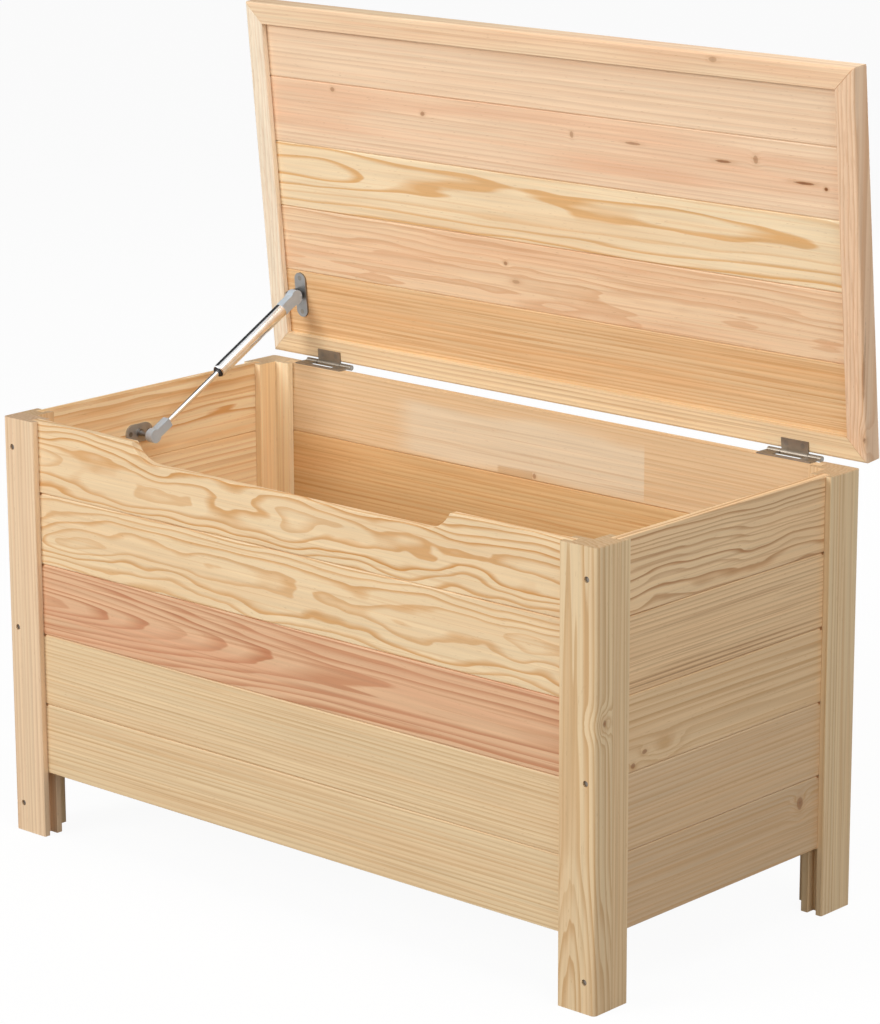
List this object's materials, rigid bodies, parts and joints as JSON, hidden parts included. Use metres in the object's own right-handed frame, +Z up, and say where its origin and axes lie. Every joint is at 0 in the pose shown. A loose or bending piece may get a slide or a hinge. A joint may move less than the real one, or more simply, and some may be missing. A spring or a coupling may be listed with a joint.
{
  "type": "blanket chest",
  "caption": "Pine blanket chest on stile feet, with tongue-and-groove board walls, a finger scoop in the front and a framed lid on flush hinges held open by a gas strut.",
  "frame": {"origin": "on the floor, under the middle of the bounding box of the chest with its lid open", "axes": "+Z up, +X to the right of someone who faces the front, +Y to the back; the front with the finger scoop faces -Y"},
  "size_m": [0.808, 0.4268, 0.8465],
  "materials": {
    "pine": "clear satin lacquer",
    "plywood": "unfinished",
    "hinge_steel": "satin",
    "bracket_steel": "satin",
    "screw_steel": "satin",
    "strut_chrome": "polished",
    "socket_plastic": "matt",
    "guide_plastic": "matt"
  },
  "bodies": {
    "chest": {"front_stile_left": "pine", "front_stile_right": "pine", "back_stile_left": "pine", "back_stile_right": "pine", "left_side_stile_front": "pine", "left_side_stile_back": "pine", "right_side_stile_front": "pine", "right_side_stile_back": "pine", "front_board_1": "pine", "front_board_2": "pine", "front_board_3": "pine", "front_board_4": "pine", "front_board_5": "pine", "back_board_1": "pine", "back_board_2": "pine", "back_board_3": "pine", "back_board_4": "pine", "back_board_5": "pine", "left_board_1": "pine", "left_board_2": "pine", "left_board_3": "pine", "left_board_4": "pine", "left_board_5": "pine", "right_board_1": "pine", "right_board_2": "pine", "right_board_3": "pine", "right_board_4": "pine", "right_board_5": "pine", "floor_panel": "plywood", "floor_battens": "pine", "corner_screws": "screw_steel", "hinge_base_leaf_left": "hinge_steel", "hinge_base_leaf_right": "hinge_steel", "hinge_pin_left": "bracket_steel", "hinge_pin_right": "bracket_steel", "hinge_base_screws": "screw_steel", "strut_lower_bracket": "bracket_steel", "strut_lower_stud": "bracket_steel", "strut_lower_screws": "screw_steel"},
    "lid": {"lid_rail_front": "pine", "lid_rail_back": "pine", "lid_rail_left": "pine", "lid_rail_right": "pine", "lid_board_1": "pine", "lid_board_2": "pine", "lid_board_3": "pine", "lid_board_4": "pine", "lid_board_5": "pine", "hinge_lid_leaf_left": "hinge_steel", "hinge_lid_leaf_right": "hinge_steel", "hinge_lid_screws": "screw_steel", "strut_upper_bracket": "bracket_steel", "strut_upper_stud": "bracket_steel", "strut_upper_screws": "screw_steel"},
    "strut_cylinder": {"strut_tube": "strut_chrome", "strut_rod_guide": "guide_plastic", "strut_upper_socket": "socket_plastic"},
    "strut_plunger": {"strut_rod": "strut_chrome", "strut_piston": "bracket_steel", "strut_lower_socket": "socket_plastic"}
  },
  "joints": [
    {"name": "lid_hinge", "type": "hinge", "parent": "chest", "child": "lid", "pos_m": [0, 0.19009, 0.45075], "axis": [1, 0, 0], "range_deg": [0, 84.5], "stiffness_Nm_per_rad": 0.5, "springref_deg": -114.59},
    {"name": "strut_pivot", "type": "hinge", "parent": "lid", "child": "strut_cylinder", "pos_m": [-0.36, 0.1783, 0.52145], "axis": [1, 0, 0], "range_deg": [-98.25, 0]},
    {"name": "strut_slide", "type": "slide", "parent": "strut_cylinder", "child": "strut_plunger", "axis": [0, 0.8792, 0.4765], "range_m": [0, 0.08423]}
  ],
  "couplings": [
    {"joint": "strut_pivot", "follows": "lid_hinge", "ratio": -1.1603},
    {"joint": "strut_slide", "follows": "lid_hinge", "m_per_rad": 0.056976}
  ]
}
